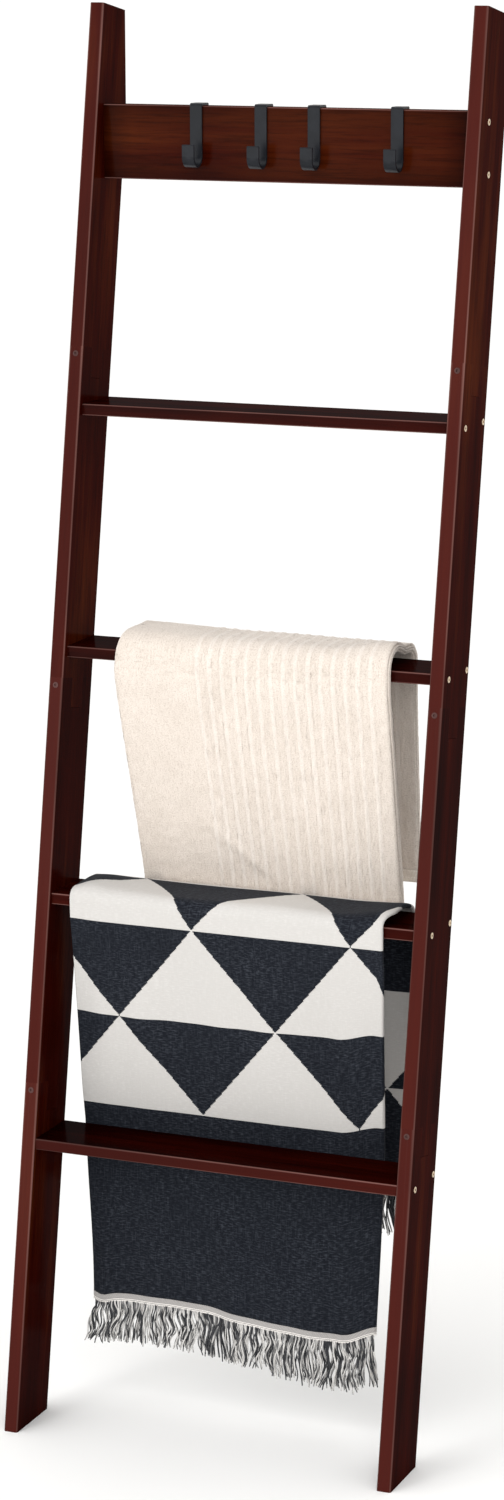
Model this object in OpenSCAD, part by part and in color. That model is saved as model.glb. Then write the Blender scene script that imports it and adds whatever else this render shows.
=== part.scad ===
// Wall-leaning wooden blanket ladder with a folded fringed throw, a folded ribbed towel and hooks.
// Millimetres. +Z up, +X right, +Y towards the wall. The floor is z = 0.

/* [Rack] */
// Overall width across both rails
rack_width = 500; // [480:10:600]
// Thickness of each rail board, side to side
rail_thick = 18; // [16:1:22]
// Depth of each rail board, front to back
rail_depth = 85; // [80:1:95]
// Length of each rail along its front edge
rail_length = 1717; // [1690:1:1760]
// Radius of the rounded rail edges
rail_edge_r = 3; // [1:0.5:4]
// Lean of the rails from upright, in degrees
lean = 9.9; // [9:0.1:11]
// Height at which the upright wall-contact cut starts on each rail back
wall_cut_height = 1545; // [1530:5:1560]

/* [Rail joints] */
// Shoulder of the lower joint, measured along the rail
joint_low = 426; // [410:1:440]
// Shoulder of the middle joint, measured along the rail
joint_mid = 915; // [900:1:930]
// Shoulder of the upper joint, measured along the rail
joint_high = 1311; // [1300:1:1330]
// Length of the tongue below each shoulder
tongue_length = 36; // [28:1:44]
// Depth of the tongue, front to back
tongue_depth = 29; // [24:1:34]
// Diameter of the joint bolt head
bolt_head_d = 7; // [6:0.5:8]

/* [Rungs and board] */
// Top faces of the rungs above the floor, lowest first
rung_tops = [353, 645.5, 938, 1223];
// Set-back of each rung front behind the rail front, lowest first
rung_setbacks = [2, 5, 7, 8];
// Thickness of each rung
rung_thick = 14; // [12:0.5:16]
// Height of the top board
board_height = 88; // [80:1:95]
// Thickness of the top board
board_thick = 16; // [14:1:18]
// Underside of the top board above the floor
board_bottom = 1485; // [1480:1:1490]
// Front face of the top board behind the rail feet's front edge
board_front = 292; // [288:1:300]
// Head diameter of the rung and board screws
screw_head_d = 7.6; // [7:0.1:9]

/* [Hooks] */
// Width of each hook strap
hook_width = 15; // [12:1:18]
// Thickness of the hook strap
hook_thick = 2.5; // [2:0.1:3]
// Inner radius of the hook's lower bend
hook_bend_r = 11; // [9:0.5:12]
// Centres of the hooks across the rack
hook_x = [-111.5, -29, 38, 141.5];

/* [Textiles] */
// Width of the folded throw
throw_width = 406; // [380:1:410]
// Thickness of the folded throw
throw_thick = 7; // [6:0.5:7]
// Left edge of the folded throw
throw_left = -206; // [-208:1:-200]
// Radius of the throw's bends over its rung
throw_bend_r = 11; // [9:0.5:12]
// How far the throw arches above its rung
throw_lift = 3.5; // [3:0.5:6]
// Width of the folded towel
towel_width = 352; // [330:1:360]
// Thickness of the folded towel
towel_thick = 12; // [10:0.5:12]
// Left edge of the folded towel
towel_left = -166; // [-180:1:-150]
// Radius of the towel's bends over its rung
towel_bend_r = 18; // [14:1:19]
// How far the towel arches above its rung
towel_lift = 9; // [8:1:14]

/* [Hidden] */

tl = tan(lean);
// faces of a rail at height z
function front_y(z) = z * tl;
function back_y(z) = z * tl + rail_depth / cos(lean);
wall_y = back_y(wall_cut_height);
inner_x = rack_width / 2 - rail_thick;
shoulders = [-25, joint_low, joint_mid, joint_high, rail_length];
tongue_front = (rail_depth - tongue_depth) / 2;
joint_gap = 0.2;
bolt_drop = 9;
bolt_shank_d = 4.6;
bolt_len = 70;
bolt_proud = 0.3;
screw_shank_d = 4;
screw_len = 45;
screw_head_t = 2.8;
screw_proud = 0.5;
bore_gap = 0.1;
board_top = board_bottom + board_height;
board_back = board_front + board_thick;
// screw centres [y, z] seen from the side, for a rung and for the board
function rung_screws(i) = let (zc = rung_tops[i] - rung_thick / 2)
    [[front_y(zc) + 16, zc], [back_y(zc) - 9, zc]];
board_screws = [[board_front + board_thick / 2, board_bottom + 15],
    [board_front + board_thick / 2, board_top - 13]];

wood_front = [0.30, 0.10, 0.08];
wood_side = [0.22, 0.06, 0.03];
brass = [0.72, 0.60, 0.42];
slate = [0.20, 0.22, 0.25];
navy = [0.15, 0.16, 0.20];
fringe_grey = [0.60, 0.60, 0.60];
cream = [0.92, 0.88, 0.83];

// everything is drawn with the rail feet's front edge at y = 0, then centred front to back
module placed() { translate([0, -wall_y / 2, 0]) children(); }
// leaning frame: x across, y along the rail's depth, z along the rail's length
module leaning() { rotate([-lean, 0, 0]) children(); }
// a side outline in [y, z] drawn out along x from x0 by length len
module along_x(x0, len) { translate([x0, 0, 0]) rotate([90, 0, 90]) linear_extrude(height = len) children(); }

module rounded(w, d, r) {
    translate([r, 0]) square([w - 2 * r, d]);
    translate([0, r]) square([w, d - 2 * r]);
    for (x = [r, w - r], y = [r, d - r]) translate([x, y]) circle(r = r, $fn = 32);
}

module bolt_bores(x, low) {
    for (s = [joint_low, joint_mid, joint_high]) translate([x, 0, s - bolt_drop]) rotate([-90, 0, 0]) {
        translate([0, 0, -1]) cylinder(d = bolt_head_d + bore_gap, h = 4, $fn = 48);
        translate([0, 0, -1]) cylinder(d = bolt_shank_d + bore_gap, h = bolt_len + 1.2, $fn = 48);
    }
}

// one screw hole through a rail and into what it holds; side is -1 left, 1 right
module screw_bore(side, p) {
    translate([side * rack_width / 2, p[0], p[1]]) rotate([0, -side * 90, 0]) {
        translate([0, 0, -1]) cylinder(d = screw_head_d + bore_gap, h = screw_head_t - screw_proud + 1, $fn = 48);
        translate([0, 0, -1]) cylinder(d = screw_shank_d + bore_gap, h = screw_len + 1.2, $fn = 48);
    }
}

module screw(side, p) {
    translate([side * (rack_width / 2 + screw_proud), p[0], p[1]]) rotate([0, -side * 90, 0]) difference() {
        union() {
            cylinder(d = screw_head_d, h = screw_head_t, $fn = 48);
            cylinder(d = screw_shank_d, h = screw_len + screw_proud, $fn = 48);
        }
        translate([0, 0, -1]) cylinder(d = 3.4, h = 2.6, $fn = 6);
    }
}

module rail_part(side, k) {
    x0 = side < 0 ? -rack_width / 2 : inner_x;
    lo = shoulders[k - 1];
    hi = shoulders[k];
    placed() difference() {
        intersection() {
            leaning() translate([x0, 0, 0]) intersection() {
                translate([0, 0, -25]) linear_extrude(height = rail_length + 25) rounded(rail_thick, rail_depth, rail_edge_r);
                union() {
                    translate([-1, -1, lo]) cube([rail_thick + 2, rail_depth + 2, hi - lo]);
                    if (k > 1) translate([-1, tongue_front + joint_gap, lo - tongue_length + 0.4])
                        cube([rail_thick + 2, tongue_depth - 2 * joint_gap, tongue_length + 5]);
                }
            }
            translate([-rack_width, -50, 0]) cube([2 * rack_width, wall_y + 50, 2500]);
        }
        if (k < 4) leaning() translate([x0 - 1, tongue_front, hi - tongue_length])
            cube([rail_thick + 2, tongue_depth, tongue_length + 1]);
        leaning() bolt_bores(x0 + rail_thick / 2);
        for (i = [0:3]) for (p = rung_screws(i)) screw_bore(side, p);
        for (p = board_screws) screw_bore(side, p);
    }
}

module joint_bolts(side) {
    x = side * (rack_width - rail_thick) / 2;
    placed() leaning() for (s = [joint_low, joint_mid, joint_high])
        translate([x, -bolt_proud, s - bolt_drop]) rotate([-90, 0, 0]) difference() {
            union() {
                cylinder(d = bolt_head_d, h = 3 + bolt_proud, $fn = 48);
                cylinder(d = bolt_shank_d, h = bolt_len + bolt_proud, $fn = 48);
            }
            translate([0, 0, -1]) cylinder(d = 3.4, h = 2.4, $fn = 6);
        }
}

module rung(i) {
    z = rung_tops[i];
    y0 = front_y(z) + rung_setbacks[i];
    y1 = back_y(z - rung_thick);
    placed() difference() {
        along_x(-inner_x, 2 * inner_x) translate([y0, z - rung_thick]) rounded(y1 - y0, rung_thick, 2.5);
        for (side = [-1, 1], p = rung_screws(i)) screw_bore(side, p);
    }
}

module hook(x) {
    gap = 0.3;
    t = hook_thick;
    yf = board_front - gap;
    yb = board_back + gap;
    bend_z = board_top - 58;
    bend_y = yf - t - hook_bend_r;
    placed() along_x(x - hook_width / 2, hook_width) {
        // over the board, with a short back lip
        difference() {
            union() {
                translate([yf - t, board_top - 25]) square([yb - yf + 2 * t, 25 + gap + t - 3]);
                translate([yf - t + 3, board_top]) square([yb - yf + 2 * t - 6, gap + t]);
                for (y = [yf - t + 3, yb + t - 3]) translate([y, board_top + gap + t - 3]) circle(r = 3, $fn = 48);
            }
            translate([yf, board_top - 40]) square([yb - yf, 40 + gap]);
        }
        // front strap, lower bend and rising tip
        translate([yf - t, bend_z]) square([t, board_top - 20 - bend_z]);
        difference() {
            translate([bend_y, bend_z]) circle(r = hook_bend_r + t, $fn = 96);
            translate([bend_y, bend_z]) circle(r = hook_bend_r, $fn = 96);
            translate([bend_y - 30, bend_z]) square([60, 30]);
        }
        translate([bend_y - hook_bend_r - t, bend_z]) square([t, 12.5]);
        translate([bend_y - hook_bend_r - t / 2, bend_z + 12.5]) circle(r = t / 2, $fn = 32);
    }
}

// points along an arc in the side view, as [y, z]
function arc(cy, cz, r, a0, a1, n) = [for (i = [0:n]) let (a = a0 + (a1 - a0) * i / n) [cy + r * cos(a), cz + r * sin(a)]];
function dir(p, q) = (q - p) / norm(q - p);
function tangent(p, i) = i == 0 ? dir(p[0], p[1]) : i == len(p) - 1 ? dir(p[i - 1], p[i]) : dir(p[i - 1], p[i + 1]);
// outline of a band of thickness t along the points p
function band(p, t) = concat(
    [for (i = [0:len(p) - 1]) let (d = tangent(p, i)) p[i] + [-d[1], d[0]] * t / 2],
    [for (i = [len(p) - 1:-1:0]) let (d = tangent(p, i)) p[i] - [-d[1], d[0]] * t / 2]);

// path of a folded textile over rung i: front end, tuck behind the thing below, over the rung in bends of
// radius r with the top standing lift above the rung, back end
function drape(i, t, r, lift, low_y, low_z, tuck_z, back_z) =
    let (z = rung_tops[i], y0 = front_y(z) + rung_setbacks[i], y1 = back_y(z - rung_thick),
        off = t / 2 + 0.5, bend_z = z + off + lift - r)
    concat([[low_y, low_z], [low_y, tuck_z]],
        [[y0 - off, z - 26]],
        arc(y0 - off + r, bend_z, r, 180, 90, 10),
        arc(y1 + off - r, bend_z, r, 90, 0, 10),
        [[y1 + off, z - 26], [y1 + off, back_z]]);

// how far back the cloth stands where it is tucked behind the rung below
throw_tuck_y = back_y(rung_tops[0] - rung_thick) + 0.7 + throw_thick / 2;
towel_tuck_y = back_y(rung_tops[1] - rung_thick) + 0.5 + throw_thick + 2.5 + towel_thick / 2;
throw_back_y = back_y(rung_tops[1] - rung_thick) + 0.5 + throw_thick / 2;

module left_rail_1() color(wood_front) rail_part(-1, 1);
module left_rail_2() color(wood_side) rail_part(-1, 2);
module left_rail_3() color(wood_front) rail_part(-1, 3);
module left_rail_4() color(wood_side) rail_part(-1, 4);
module right_rail_1() color(wood_front) rail_part(1, 1);
module right_rail_2() color(wood_side) rail_part(1, 2);
module right_rail_3() color(wood_front) rail_part(1, 3);
module right_rail_4() color(wood_side) rail_part(1, 4);
module left_joint_bolts() color(brass) joint_bolts(-1);
module right_joint_bolts() color(brass) joint_bolts(1);
module rung_1() color(wood_side) rung(0);
module rung_2() color(wood_side) rung(1);
module rung_3() color(wood_side) rung(2);
module rung_4() color(wood_side) rung(3);
module top_board() color(wood_front) placed() difference() {
    along_x(-inner_x, 2 * inner_x) translate([board_front, board_bottom]) rounded(board_thick, board_height, 2.5);
    for (side = [-1, 1], p = board_screws) screw_bore(side, p);
}
module left_rung_screws() color(brass) placed() for (i = [0:3]) for (p = rung_screws(i)) screw(-1, p);
module right_rung_screws() color(brass) placed() for (i = [0:3]) for (p = rung_screws(i)) screw(1, p);
module left_board_screws() color(brass) placed() for (p = board_screws) screw(-1, p);
module right_board_screws() color(brass) placed() for (p = board_screws) screw(1, p);
module hook_1() color(slate) hook(hook_x[0]);
module hook_2() color(slate) hook(hook_x[1]);
module hook_3() color(slate) hook(hook_x[2]);
module hook_4() color(slate) hook(hook_x[3]);
module throw() color(navy) placed() along_x(throw_left, throw_width)
    polygon(band(drape(1, throw_thick, throw_bend_r, throw_lift, throw_tuck_y, 138, rung_tops[0] + 6, 304), throw_thick));
module throw_front_fringe() color(fringe_grey) placed()
    translate([throw_left, throw_tuck_y - throw_thick / 2, 74]) cube([throw_width, throw_thick, 64]);
module throw_back_fringe() color(fringe_grey) placed()
    translate([throw_left, throw_back_y - throw_thick / 2, 250]) cube([throw_width, throw_thick, 54]);
module towel() color(cream) placed() along_x(towel_left, towel_width)
    polygon(band(drape(2, towel_thick, towel_bend_r, towel_lift, towel_tuck_y, 612, rung_tops[1] + 12, 668), towel_thick));

left_rail_1();
left_rail_2();
left_rail_3();
left_rail_4();
right_rail_1();
right_rail_2();
right_rail_3();
right_rail_4();
left_joint_bolts();
right_joint_bolts();
rung_1();
rung_2();
rung_3();
rung_4();
top_board();
left_rung_screws();
right_rung_screws();
left_board_screws();
right_board_screws();
hook_1();
hook_2();
hook_3();
hook_4();
throw();
throw_front_fringe();
throw_back_fringe();
towel();
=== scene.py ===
"""Looks of a wall-leaning wooden blanket ladder with a folded fringed throw, a folded ribbed towel and hooks.

Metres, in the frame's own axes: +X right, +Y towards the wall, +Z up, floor at z = 0.
Each textile is one sheet of cloth. A point on it is (a, s): a is measured across the flat cloth and s along
the line that the folded stack follows, from its front hem, up over a rung and down behind it.
"""

import math

import bpy
import numpy as np
from mathutils import Matrix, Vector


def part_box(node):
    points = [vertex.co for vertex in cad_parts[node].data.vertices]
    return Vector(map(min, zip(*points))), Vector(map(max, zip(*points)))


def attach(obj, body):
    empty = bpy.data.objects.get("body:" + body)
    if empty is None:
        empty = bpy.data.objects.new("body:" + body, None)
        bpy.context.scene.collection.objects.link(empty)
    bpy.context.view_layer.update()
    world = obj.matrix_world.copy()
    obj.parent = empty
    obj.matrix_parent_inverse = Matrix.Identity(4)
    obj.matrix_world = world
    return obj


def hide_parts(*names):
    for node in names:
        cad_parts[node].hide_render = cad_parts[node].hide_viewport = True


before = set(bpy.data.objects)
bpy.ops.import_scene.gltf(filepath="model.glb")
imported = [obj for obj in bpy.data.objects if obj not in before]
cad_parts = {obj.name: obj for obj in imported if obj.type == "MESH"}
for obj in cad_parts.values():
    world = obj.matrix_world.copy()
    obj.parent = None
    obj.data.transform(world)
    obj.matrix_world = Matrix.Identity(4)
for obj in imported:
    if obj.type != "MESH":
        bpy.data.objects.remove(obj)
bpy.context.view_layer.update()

MM = 0.001
rng = np.random.default_rng(7)

# ---------------------------------------------------------------- camera, floor and light

CAMERA_PLACE = (1.74374, -4.16649, 1.81745)
CAMERA_YAW = 0.3955
CAMERA_PITCH = -0.2157
CAMERA_ROLL = -0.0031
CAMERA_LENS = 93.88  # mm
CAMERA_SENSOR = 36.0  # mm, along the frame's long side
RACK_MIDDLE = (0.0, 0.0, 0.9)  # what the softboxes face
FLOOR_RADIUS = 120.0


def make_camera():
    data = bpy.data.cameras.new("camera")
    data.lens = CAMERA_LENS
    data.sensor_width = CAMERA_SENSOR
    data.clip_start = 0.05
    data.clip_end = 500.0
    camera = bpy.data.objects.new("camera", data)
    bpy.context.scene.collection.objects.link(camera)
    camera.matrix_world = (
        Matrix.Translation(CAMERA_PLACE)
        @ Matrix.Rotation(CAMERA_YAW, 4, "Z")
        @ Matrix.Rotation(math.pi / 2 + CAMERA_PITCH, 4, "X")
        @ Matrix.Rotation(CAMERA_ROLL, 4, "Z")
    )
    bpy.context.scene.camera = camera


def add_sun(name, azimuth, elevation, strength, angle):
    """A broad soft light. Azimuth 0 comes from -Y and 90 from +X, in degrees."""
    data = bpy.data.lights.new(name, "SUN")
    data.energy = strength
    data.angle = math.radians(angle)
    light = bpy.data.objects.new(name, data)
    bpy.context.scene.collection.objects.link(light)
    light.rotation_euler = (math.radians(90 - elevation), 0.0, math.radians(azimuth))


def add_softbox(name, azimuth, elevation, distance, size, power):
    """A rectangular area light that faces the middle of the rack, with azimuths as for the sun."""
    data = bpy.data.lights.new(name, "AREA")
    data.shape = "RECTANGLE"
    data.size, data.size_y = size
    data.energy = power
    light = bpy.data.objects.new(name, data)
    bpy.context.scene.collection.objects.link(light)
    light.matrix_world = (
        Matrix.Translation(RACK_MIDDLE)
        @ Matrix.Rotation(math.radians(azimuth), 4, "Z")
        @ Matrix.Rotation(math.radians(90 - elevation), 4, "X")
        @ Matrix.Translation((0.0, 0.0, distance))
    )


def make_studio():
    world = bpy.data.worlds.new("studio")
    world.use_nodes = True
    background = world.node_tree.nodes["Background"]
    background.inputs["Color"].default_value = (1.0, 0.998, 0.992, 1.0)
    background.inputs["Strength"].default_value = 1.0
    bpy.context.scene.world = world
    bpy.context.scene.view_settings.view_transform = "Standard"
    add_sun("key", azimuth=-38.0, elevation=58.0, strength=0.50, angle=45.0)
    add_softbox("front_left", azimuth=-24.0, elevation=8.0, distance=3.2, size=(0.8, 2.4), power=19.0)
    add_softbox("front_right", azimuth=29.0, elevation=10.0, distance=3.4, size=(0.8, 2.2), power=22.5)
    bpy.ops.mesh.primitive_circle_add(vertices=96, radius=FLOOR_RADIUS, fill_type="NGON")
    floor = bpy.context.object
    floor.name = "floor"
    floor.data.materials.append(floor_material())


# ---------------------------------------------------------------- shader helpers


class Shader:
    """A material and short ways to add nodes to it."""

    def __init__(self, name):
        self.material = bpy.data.materials.new(name)
        self.material.use_nodes = True
        self.tree = self.material.node_tree
        self.principled = self.tree.nodes["Principled BSDF"]

    def node(self, kind, **settings):
        made = self.tree.nodes.new(kind)
        for key, value in settings.items():
            setattr(made, key, value)
        return made

    def put(self, value, socket):
        """Links a socket, or sets a constant."""
        if isinstance(value, bpy.types.NodeSocket):
            self.tree.links.new(value, socket)
        else:
            socket.default_value = value

    def math(self, operation, *values):
        made = self.node("ShaderNodeMath", operation=operation)
        for value, socket in zip(values, made.inputs):
            self.put(value, socket)
        return made.outputs[0]

    def mix(self, share, a, b, blend="MIX"):
        """Two colours blended. Sockets 6 and 7 in and 2 out are the Mix node's colour ones."""
        made = self.node("ShaderNodeMix", data_type="RGBA", blend_type=blend)
        self.put(share, made.inputs[0])
        for value, socket in ((a, made.inputs[6]), (b, made.inputs[7])):
            self.put(value if isinstance(value, bpy.types.NodeSocket) else (*value, 1.0), socket)
        return made.outputs[2]

    def coordinates(self, scale=(1, 1, 1), turn=(0, 0, 0), place=(0, 0, 0)):
        """Object coordinates, turned and then scaled."""
        source = self.node("ShaderNodeTexCoord").outputs["Object"]
        turned = self.node("ShaderNodeMapping")
        self.put(source, turned.inputs["Vector"])
        turned.inputs["Rotation"].default_value = turn
        scaled = self.node("ShaderNodeMapping")
        self.put(turned.outputs[0], scaled.inputs["Vector"])
        scaled.inputs["Location"].default_value = place
        scaled.inputs["Scale"].default_value = scale
        return scaled.outputs[0]

    def cloth_uv(self, layer):
        """The two cloth coordinates, in metres, as separate sockets."""
        split = self.node("ShaderNodeSeparateXYZ")
        self.put(self.node("ShaderNodeUVMap", uv_map=layer).outputs[0], split.inputs[0])
        return split.outputs[0], split.outputs[1]

    def vector(self, x, y, z=0.0):
        made = self.node("ShaderNodeCombineXYZ")
        for value, socket in zip((x, y, z), made.inputs):
            self.put(value, socket)
        return made.outputs[0]

    def noise(self, vector, scale, detail=3.0, rough=0.55):
        made = self.node("ShaderNodeTexNoise")
        self.put(vector, made.inputs["Vector"])
        made.inputs["Scale"].default_value = scale
        made.inputs["Detail"].default_value = detail
        made.inputs["Roughness"].default_value = rough
        return made.outputs[0]

    def ramp(self, value, *stops):
        """Colours by position: stops are (position, colour)."""
        made = self.node("ShaderNodeValToRGB")
        self.put(value, made.inputs[0])
        points = made.color_ramp.elements
        while len(points) < len(stops):
            points.new(0.5)
        for point, (place, colour) in zip(points, stops):
            point.position = place
            point.color = (*colour, 1.0)
        return made.outputs[0]

    def spread(self, value, low, high, to_low=0.0, to_high=1.0):
        """The value with low to high stretched to to_low to to_high, and clamped there."""
        made = self.node("ShaderNodeMapRange")
        for v, socket in zip((value, low, high, to_low, to_high), made.inputs):
            self.put(v, socket)
        return made.outputs[0]

    def bump(self, height, strength, distance):
        made = self.node("ShaderNodeBump")
        self.put(height, made.inputs["Height"])
        made.inputs["Strength"].default_value = strength
        made.inputs["Distance"].default_value = distance
        return made.outputs[0]

    def finish(self, **values):
        """Sets or links the main shader's sockets by name, with _ for a space."""
        for key, value in values.items():
            self.put(value, self.principled.inputs[key.replace("_", " ")])
        return self.material


def floor_material():
    s = Shader("pale_floor")
    tone = s.noise(s.coordinates(), 1.5)
    colour = s.ramp(tone, (0.3, (0.93, 0.925, 0.915)), (0.7, (0.95, 0.945, 0.935)))
    return s.finish(Base_Color=colour, Roughness=0.9, Specular_IOR_Level=0.1)


# ---------------------------------------------------------------- wood and metal

LEAN = math.radians(9.9)
WOOD_DARK = (0.0070, 0.0004, 0.0002)
WOOD_MID = (0.0275, 0.0020, 0.0007)
WOOD_WARM = (0.0780, 0.0150, 0.0032)
# the colour that the painted light on front faces goes towards
WOOD_LIT_FRONT = (0.0880, 0.0180, 0.0140)
# colour of the painted highlight along the rounded edges
WOOD_EDGE_HIGHLIGHT = (0.230, 0.110, 0.095)
ALONG_GRAIN = 0.05  # the grain is 20 times longer than it is wide
PAINTED_FRONT_LIGHT, PAINTED_FRONT_LIGHT_IN_SHADE = 0.60, 0.40  # how much painted light the rails' front faces get, and the smaller share on left_rail_3 and left_rail_4


def wood_material(name, grain, seed, warmth=0.0, coat=0.035, edge=PAINTED_FRONT_LIGHT, shade_box=None):
    """Satin mahogany stain. grain is "rail" for boards that lean, or "across" for those along X, and seed
    shifts it. warmth reddens the stain, coat is the clear coat's weight, and edge is how much painted light
    the faces turned to the front get. The last argument is a box in whose middle the stain is warm, and
    towards whose ends painted shade darkens it."""
    s = Shader(name)
    if grain == "rail":
        turn, stretch = (LEAN, 0.0, 0.0), (1.0, 1.0, ALONG_GRAIN)
    else:
        turn, stretch = (0.0, 0.0, 0.0), (ALONG_GRAIN, 1.0, 1.0)
    place = (seed * 1.7, seed * 0.9, seed * 2.3)
    along = s.coordinates(stretch, turn, place)
    bands = s.noise(along, 26.0, 4.0, 0.6)
    fine = s.noise(along, 330.0, 3.0, 0.7)
    cloudy = s.noise(s.coordinates((1, 1, 1), turn, place), 3.2, 2.0)
    blend = s.math("ADD", s.math("MULTIPLY", bands, 0.7), s.math("MULTIPLY", cloudy, 0.5))
    blend = s.math("ADD", blend, warmth)
    colour = s.ramp(blend, (0.38, WOOD_DARK), (0.62, WOOD_MID), (0.88, WOOD_WARM))
    pores = s.spread(fine, 0.34, 0.52, 0.62, 1.0)
    pores = s.ramp(pores, (0.0, (0.0, 0.0, 0.0)), (1.0, (1.0, 1.0, 1.0)))
    colour = s.mix(1.0, colour, pores, "MULTIPLY")
    # painted light: the faces turned to the front, towards -Y, are lightened
    facing = s.node("ShaderNodeSeparateXYZ")
    s.put(s.node("ShaderNodeNewGeometry").outputs["Normal"], facing.inputs[0])
    colour = s.mix(s.spread(facing.outputs[1], -0.75, -0.95, 0.0, edge), colour, WOOD_LIT_FRONT)
    # painted highlight on the rounded edges, which face along no axis, made patchy by the cloudy noise
    straight = 0.0
    for part in facing.outputs:
        straight = s.math("MAXIMUM", straight, s.math("ABSOLUTE", part))
    painted_edge_highlight = s.math("MULTIPLY", s.spread(straight, 0.965, 0.80), s.spread(cloudy, 0.35, 0.65, 0.25, 0.75))
    # painted shade: the colour darkens towards the box's ends and its top and bottom
    if shade_box:
        place_in = s.node("ShaderNodeSeparateXYZ")
        s.put(s.coordinates(), place_in.inputs[0])
        for axis, start in ((0, 0.84), (2, 0.25)):
            middle = (shade_box[0][axis] + shade_box[1][axis]) / 2
            half = (shade_box[1][axis] - shade_box[0][axis]) / 2
            off = s.math("ABSOLUTE", s.math("SUBTRACT", place_in.outputs[axis], middle))
            painted_shade = s.ramp(s.math("DIVIDE", off, half), (start, (1.0, 1.0, 1.0)), (1.0, (0.45, 0.36, 0.34)))
            colour = s.mix(1.0, colour, painted_shade, "MULTIPLY")
    # the painted highlight on the rounded edges
    colour = s.mix(painted_edge_highlight, colour, WOOD_EDGE_HIGHLIGHT)
    height = s.math("ADD", s.math("MULTIPLY", fine, 0.5), bands)
    return s.finish(
        Base_Color=colour,
        Roughness=s.spread(fine, 0.3, 0.7, 0.42, 0.56),
        Specular_IOR_Level=0.0,
        Coat_Weight=coat,
        Coat_Roughness=0.17,
        Normal=s.bump(height, 0.10, 0.4 * MM),
    )


def metal_material(name, colour, roughness, metallic, grain):
    """Plated or powder-coated metal with fine speckle and slight wear."""
    s = Shader(name)
    speckle = s.noise(s.coordinates(), grain, 4.0, 0.65)
    patches = s.noise(s.coordinates(place=(3.1, 0.4, 1.2)), 60.0, 2.0)
    darker = tuple(c * 0.72 for c in colour)
    return s.finish(
        Base_Color=s.mix(s.spread(patches, 0.35, 0.65), darker, colour),
        Roughness=s.spread(speckle, 0.3, 0.7, roughness - 0.06, roughness + 0.08),
        Metallic=metallic,
        Specular_IOR_Level=0.15,
        Normal=s.bump(speckle, 0.18, 0.15 * MM),
    )


RAIL_BEVEL, HOOK_BEVEL, BOLT_BEVEL, SCREW_BEVEL = 0.45 * MM, 0.35 * MM, 0.25 * MM, 0.3 * MM
BEVEL_ANGLE = math.radians(50)  # edges flatter than this stay as they are
WELD_GAP = 0.01 * MM
SOFT_NODES = ("throw", "throw_front_fringe", "throw_back_fringe", "towel")


def wood_look(name, number):
    """The wood of one rail board, rung or the top board."""
    if "rail" in name:
        # a rail's boards agree in tone where they meet, and differ a little in grain
        plank = (3.0 if name.startswith("left") else 9.0) + 0.012 * int(name[-1])
        # less painted front light on these two boards
        edge = PAINTED_FRONT_LIGHT_IN_SHADE if name in ("left_rail_3", "left_rail_4") else PAINTED_FRONT_LIGHT
        return wood_material("wood_" + name, "rail", plank, edge=edge)
    if name == "top_board":
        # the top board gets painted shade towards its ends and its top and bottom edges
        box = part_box(name)
        return wood_material("wood_" + name, "across", number, warmth=0.14, coat=0.03, edge=0.0, shade_box=box)
    # painted light on the rungs' front faces, most on rung_1
    edge = 0.4 if name == "rung_1" else 0.12
    return wood_material("wood_" + name, "across", number, warmth=-0.12, coat=0.03, edge=edge)


def round_edges(node, width):
    """Joins the mesh's split corners and gives its edges a fine rounding."""
    weld = node.modifiers.new("weld", "WELD")
    weld.merge_threshold = WELD_GAP
    rounding = node.modifiers.new("edge", "BEVEL")
    rounding.width = width
    rounding.segments = 2
    rounding.limit_method = "ANGLE"
    rounding.angle_limit = BEVEL_ANGLE


def dress_hard_parts():
    """Gives every hard CAD node its material, and all but the rungs and the top board fine edge rounding."""
    brass = metal_material("brass_screw", (0.72, 0.56, 0.38), roughness=0.28, metallic=1.0, grain=900.0)
    ring = metal_material("joint_bolt", (0.085, 0.040, 0.036), roughness=0.40, metallic=0.5, grain=900.0)
    slate = metal_material("slate_coat", (0.0115, 0.0130, 0.0170), roughness=0.34, metallic=0.0, grain=2600.0)
    for number, (name, node) in enumerate(sorted(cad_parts.items())):
        if name in SOFT_NODES:
            continue
        if "rail" in name:
            look, bevel = wood_look(name, number), RAIL_BEVEL
        elif name.startswith("rung_") or name == "top_board":
            look, bevel = wood_look(name, number), None
        elif name.startswith("hook"):
            look, bevel = slate, HOOK_BEVEL
        elif "bolts" in name:
            look, bevel = ring, BOLT_BEVEL
        else:
            look, bevel = brass, SCREW_BEVEL
        node.data.materials.clear()
        node.data.materials.append(look)
        if bevel:
            round_edges(node, bevel)


# ---------------------------------------------------------------- cloth paths


def smooth(x, low, high):
    """0 below low, 1 above high, and an S between."""
    t = np.clip((np.asarray(x, float) - low) / (high - low), 0.0, 1.0)
    return t * t * (3.0 - 2.0 * t)


def hump(x, middle, width):
    """A bell of height 1."""
    return np.exp(-(((np.asarray(x, float) - middle) / width) ** 2))


def arc(centre_y, centre_z, radius, start, end):
    """Points of an arc seen from the side, from one angle in degrees to another."""
    angles = np.radians(np.linspace(start, end, ARC_STEPS + 1))
    return [(centre_y + radius * math.cos(t), centre_z + radius * math.sin(t)) for t in angles]


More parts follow.
